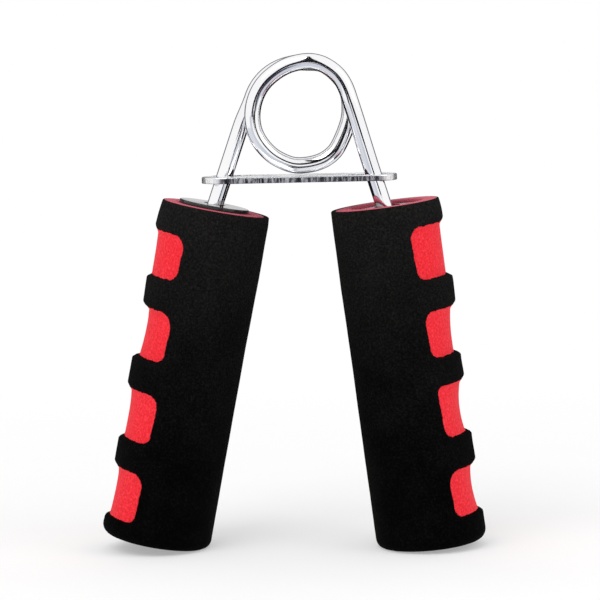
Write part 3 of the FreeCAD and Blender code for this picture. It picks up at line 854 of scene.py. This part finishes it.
def make_foam(side):
    """The black cover and the red inner foam of one handle."""
    theta, s, radius, signed = skin_grid(side)
    rows, columns = theta.shape
    matrix = handle_frame(side)
    angle_row, angle_end = theta[0], theta[-1]

    # cover: inner lip, upper rim, skin, rounded lower end and its bottom
    upper = [(angle_row, depth, r) for r, depth in COVER_LIP]
    for turn in np.linspace(0, math.pi / 2, RIM_STEPS + 1)[:-1]:
        r = radius[0] - FOAM_RIM * (1 - math.sin(turn))
        upper.append((angle_row, FOAM_RIM * (1 - math.cos(turn)), r))
    lower = []
    end_radius = radius[-1]
    for turn in np.linspace(0, math.pi / 2, END_STEPS + 1)[1:]:
        r = end_radius - END_ROUNDING * (1 - math.cos(turn))
        lower.append((angle_end, HANDLE_LENGTH - END_ROUNDING * (1 - math.sin(turn)), r))
    for share in DISH_SHARES:
        r = (end_radius - END_ROUNDING) * share
        lower.append((angle_end, HANDLE_LENGTH - DISH * (1 - share**2), r))
    blocks = [to_points(*ring) for ring in upper]
    blocks += list(to_points(theta, s, radius))
    blocks += [to_points(*ring) for ring in lower]
    points = np.array(blocks)
    total_rows = len(points)
    outside = np.ones((total_rows, columns))
    first = len(upper)
    outside[first:first + rows] = signed
    faces = grid_faces(total_rows, columns)
    kept = outside.reshape(-1)[faces].mean(axis=1) > 0
    flat_points = points.reshape(-1, 3)
    centre = len(flat_points)
    flat_points = np.vstack([flat_points, [[0, 0, -HANDLE_LENGTH + DISH]]])
    last = (total_rows - 1) * columns
    fan = [(last + k, centre, last + (k + 1) % columns) for k in range(columns)]
    cover_faces = faces[kept].tolist()

    # the cut edges of the cover, turned in to meet the red foam
    skin = range((first + 1) * columns, (first + rows) * columns)
    cut_edges = [(a, b) for a, b in open_edges(cover_faces) if a in skin and b in skin]
    turned_in, extra = {}, []
    base = len(flat_points)
    for vert in sorted({v for edge in cut_edges for v in edge}):
        turned_in[vert] = base + len(extra)
        p = flat_points[vert]
        out = np.array([p[0], p[1], 0]) / math.hypot(p[0], p[1])
        extra.append(p - out * CUT_DEPTH)
    walls = [(b, a, turned_in[a], turned_in[b]) for a, b in cut_edges]
    all_points = slanted(np.vstack([flat_points, extra]), side)
    cover = add_mesh(f"{side}_cover", all_points, cover_faces + fan + walls, matrix, cover_foam)

    # red foam: the same skin inside the fields, under the cover elsewhere, with its ends
    under = np.minimum(radius - 0.05, INNER_RADIUS - 0.03)
    red_radius = np.where(signed <= 0.001, radius, under)
    red = [to_points(angle_row, depth, r) for r, depth in RED_TOP]
    red += list(to_points(theta, s, red_radius))
    for r in (INNER_RADIUS - 0.4, CORE_RADIUS):
        red.append(to_points(angle_end, HANDLE_LENGTH - COVER_END, r))
    red_faces = grid_faces(len(red), columns).tolist()
    inner = add_mesh(f"{side}_inner", np.concatenate(red), red_faces, matrix, inner_foam)

    # foam pressed flat where the grip stands
    for made in (cover, inner):
        for vert in made.data.vertices:
            vert.co.z = max(vert.co.z, 0.0)
    return cover, inner


for side in SIDES:
    cover, inner = make_foam(side)
    for piece, node, slot in ((cover, "foam_cover", "cover_foam"), (inner, "inner_foam", "inner_foam")):
        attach(piece, f"{side}_arm")
        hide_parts(f"{side}_{node}")
    core = frame["nodes"][f"{side}_core"]
    core.data.materials.clear()
    core.data.materials.append(core_gloss)


# Studio: pale floor, white surroundings, cards that show only in reflections, a large soft lamp above and
# to the left and a smaller one to the right. Places in the studio are in metres.

WHITE = (1, 1, 1, 1)
FLOOR_RADIUS, FLOOR_LEVEL = 9, -0.0002  # just under the foam that stands on it
FADE_START, FADE_END = 0.12, 0.40  # from the middle, where the floor turns to plain white
LEAST_WHITE = 0.35  # share of plain white under the grip


def seen_directly(tree):
    """One for what the camera sees, also in mirrors and through glass, and zero for what only lights."""
    rays = tree.nodes.new("ShaderNodeLightPath")
    found = rays.outputs["Is Camera Ray"]
    for kind in ("Is Glossy Ray", "Is Transmission Ray"):
        either = tree.nodes.new("ShaderNodeMath")
        either.operation = "MAXIMUM"
        tree.links.new(found, either.inputs[0])
        tree.links.new(rays.outputs[kind], either.inputs[1])
        found = either.outputs[0]
    return found


def floor_material():
    """Pale floor that keeps the object's shadow and fades to plain white away from it."""
    material = bpy.data.materials.new("floor")
    material.use_nodes = True
    tree = material.node_tree
    tree.nodes.clear()
    place = tree.nodes.new("ShaderNodeTexCoord")
    length = tree.nodes.new("ShaderNodeVectorMath")
    length.operation = "LENGTH"
    fade = tree.nodes.new("ShaderNodeMapRange")
    fade.interpolation_type = "SMOOTHSTEP"
    fade.inputs["From Min"].default_value = FADE_START
    fade.inputs["From Max"].default_value = FADE_END
    fade.inputs["To Min"].default_value = LEAST_WHITE
    grain = tree.nodes.new("ShaderNodeTexNoise")
    grain.inputs["Scale"].default_value = 30
    tone = tree.nodes.new("ShaderNodeMapRange")
    tone.inputs["To Min"].default_value = 0.95
    tone.inputs["To Max"].default_value = 0.98
    matt = tree.nodes.new("ShaderNodeBsdfDiffuse")
    white = tree.nodes.new("ShaderNodeEmission")
    white.inputs["Color"].default_value = WHITE
    mix = tree.nodes.new("ShaderNodeMixShader")
    share = tree.nodes.new("ShaderNodeMath")
    share.operation = "MULTIPLY"
    output = tree.nodes.new("ShaderNodeOutputMaterial")
    link = tree.links.new
    link(place.outputs["Object"], length.inputs[0])
    link(length.outputs["Value"], fade.inputs["Value"])
    link(place.outputs["Object"], grain.inputs["Vector"])
    link(grain.outputs["Fac"], tone.inputs["Value"])
    link(tone.outputs["Result"], matt.inputs["Color"])
    link(seen_directly(tree), share.inputs[0])
    link(fade.outputs["Result"], share.inputs[1])
    link(share.outputs[0], mix.inputs["Fac"])
    link(matt.outputs[0], mix.inputs[1])
    link(white.outputs[0], mix.inputs[2])
    link(mix.outputs[0], output.inputs["Surface"])
    return material


floor_place = (0, 0, FLOOR_LEVEL)
bpy.ops.mesh.primitive_circle_add(vertices=128, radius=FLOOR_RADIUS, fill_type="NGON", location=floor_place)
floor = bpy.context.object
floor.name = "floor"
floor.data.materials.append(floor_material())


def card_material(name, colour):
    """An even glow of that colour."""
    material = bpy.data.materials.new(name)
    material.use_nodes = True
    tree = material.node_tree
    tree.nodes.clear()
    glow = tree.nodes.new("ShaderNodeEmission")
    glow.inputs["Color"].default_value = (*colour, 1)
    output = tree.nodes.new("ShaderNodeOutputMaterial")
    tree.links.new(glow.outputs[0], output.inputs["Surface"])
    return material


COIL_PLACE = Vector((0.0056, 0, 0.1385))
HIGHEST, LOWEST = 88, -68  # degrees of a card's directions
CARD_POINTS = 9  # along each side of a far card
FRAME_REACH, FRAME_STEPS = 0.5, 30  # from the coil to the dark frame, and steps along each half of it
FRAME_INSIDE, FRAME_MIDDLE, FRAME_OUTSIDE = 11, 30, 60  # degrees off the frame's middle
FRAME_LOW_SPREAD = 18  # degrees by which its lower part reaches further out
LOOK_DOWN = 5.8  # degrees by which the camera looks down
NEAR_PLANE = -66  # millimetres from the coil to the near arch
BLACK, DARK, GREY = (0.012, 0.012, 0.014), (0.05, 0.05, 0.07), (0.20, 0.20, 0.21)
SHADE, PALE = (0.62, 0.65, 0.73), (0.72, 0.74, 0.79)


def show_in_reflections(name, points, faces, colour):
    """A studio card that shows only in reflections and casts no shadow."""
    made = add_mesh(name, points, faces, Matrix.Identity(4), card_material(name, colour), smooth=False)
    for ray in ("camera", "diffuse", "shadow", "transmission", "volume_scatter"):
        setattr(made, f"visible_{ray}", False)


def seen_from_coil(azimuth, elevation, reach):
    """The place in a direction from the coil, with azimuth 0 on the camera's side. One that would lie below
    the floor is drawn in to just above it."""
    turn, rise = math.radians(azimuth), math.radians(max(min(elevation, HIGHEST), LOWEST))
    way = Vector((math.sin(turn) * math.cos(rise), -math.cos(turn) * math.cos(rise), math.sin(rise)))
    card_level = 0.017 - 0.02 * reach
    floor_reach = (COIL_PLACE.z - card_level) / max(-way.z, 0.01)
    return COIL_PLACE + way * min(reach, floor_reach)


def far_card(name, azimuths, elevations, colour, reach, slope=0.0):
    """A curved card between these directions from the coil, rising by slope from its first azimuth."""
    n = CARD_POINTS
    across, up = (np.linspace(*limits, n) for limits in (azimuths, elevations))
    points = [seen_from_coil(a, e + slope * (a - across[0]), reach) for e in up for a in across]
    faces = [(k, k + 1, k + n + 1, k + n) for k in range(n * (n - 1)) if k % n != n - 1]
    show_in_reflections(name, points, faces, colour)


def dark_frame(name, start, end, colour):
    """Half of a frame behind the grip, outside the camera's view, which draws the chrome's outlines."""
    points = []
    for turn in np.radians(np.linspace(start, end, FRAME_STEPS + 1)):
        outside = FRAME_OUTSIDE + FRAME_LOW_SPREAD * ease(0.5 - math.sin(turn))
        for off in (FRAME_INSIDE, FRAME_MIDDLE, outside):
            azimuth, elevation = 180 + off * math.cos(turn), off * math.sin(turn) - LOOK_DOWN
            points.append(seen_from_coil(azimuth, elevation, FRAME_REACH))
    firsts = [3 * i + k for i in range(FRAME_STEPS) for k in (0, 1)]
    faces = [(k, k + 1, k + 4, k + 3) for k in firsts]
    show_in_reflections(name, points, faces, colour)


def near_arch():
    """A dark arch close in front of the coil, which draws the black line along the middle of the wire. Each
    pair is its outer and inner edge, across and up from the coil's middle in millimetres."""
    pairs = (
        ((-28, -9.5), (-1, -11.5)),
        ((-28, -2), (-3, -10)),
        ((-24, 12), (-6, -7)),
        ((-15, 23), (-6, -1.5)),
        ((-8, 27), (-4, 1)),
        ((9, 27), (-4, 5)),
        ((23, 14), (0, 7)),
        ((34, 1), (8, -4)),
        ((36, -4), (15, -11)),
        ((37, -9), (21, -14)),
        ((39, -14), (23, -19)),
        ((43, -25), (27, -30)),
    )
    points = [COIL_PLACE + Vector((x, NEAR_PLANE, z)) * MM for pair in pairs for x, z in pair]
    faces = [(k, k + 1, k + 3, k + 2) for k in range(0, 2 * len(pairs) - 2, 2)]
    show_in_reflections("card_near", points, faces, BLACK)


dark_frame("card_frame_low", 180, 360, BLACK)
dark_frame("card_frame_high", 0, 180, GREY)
near_arch()
far_card("card_slit", (-9, 1), (6, 72), BLACK, 0.53)
far_card("card_leg", (11, 27), (-9.5, -4.5), BLACK, 0.50, -0.3)
far_card("card_low_right", (52, 150), (-68, -30), SHADE, 0.64)
far_card("card_low_middle", (-12, 52), (-68, -14), SHADE, 0.63)
far_card("card_front_low", (0, 27), (-34, -13), DARK, 0.50)
far_card("card_low_left", (-40, -12), (-68, -7), SHADE, 0.64)
far_card("card_left", (-110, -40), (-68, -15), PALE, 0.64)

SURROUNDINGS = 0.82  # light that the surroundings give, while the camera sees them white

world = bpy.data.worlds.new("studio")
bpy.context.scene.world = world
world.use_nodes = True
tree = world.node_tree
tree.nodes.clear()
light = tree.nodes.new("ShaderNodeBackground")
light.inputs["Color"].default_value = WHITE
light.inputs["Strength"].default_value = SURROUNDINGS
white = tree.nodes.new("ShaderNodeBackground")
white.inputs["Color"].default_value = WHITE
mix = tree.nodes.new("ShaderNodeMixShader")
output = tree.nodes.new("ShaderNodeOutputWorld")
tree.links.new(seen_directly(tree), mix.inputs["Fac"])
tree.links.new(light.outputs[0], mix.inputs[1])
tree.links.new(white.outputs[0], mix.inputs[2])
tree.links.new(mix.outputs[0], output.inputs["Surface"])


GRIP_MIDDLE = Vector((0.005, 0, 0.08))


def lamp(name, place, size, power):
    """A soft rectangular lamp aimed at the grip's middle."""
    data = bpy.data.lights.new(name, "AREA")
    data.shape = "RECTANGLE"
    data.size, data.size_y = size
    data.energy = power
    made = link_new(name, data)
    made.location = place
    way = GRIP_MIDDLE - Vector(place)
    made.rotation_mode = "QUATERNION"
    made.rotation_quaternion = way.to_track_quat("-Z", "Y")


lamp("key", (-0.5, -0.7, 1.1), (0.9, 0.7), 5.0)
lamp("fill", (0.9, -0.5, 0.7), (0.6, 0.6), 1.8)


# Camera at the photograph's place. It leans with the grip's own middle line.

EYE = Vector((0.00661, -0.85, 0.16531))
AIM = Vector((0.00413, 0, 0.07925))
LENS, SENSOR = 160.8, 36

data = bpy.data.cameras.new("camera")
data.sensor_width = SENSOR
data.lens = LENS
camera = link_new("camera", data)
forward = (AIM - EYE).normalized()
right = forward.cross(Vector((0, 0, 1))).normalized()
up = right.cross(forward)
lean_c, lean_s = math.cos(TILT), math.sin(TILT)
right, up = right * lean_c - up * lean_s, up * lean_c + right * lean_s
camera.matrix_world = Matrix.Translation(EYE) @ Matrix((right, up, -forward)).transposed().to_4x4()
bpy.context.scene.camera = camera
bpy.context.scene.view_settings.view_transform = "Standard"
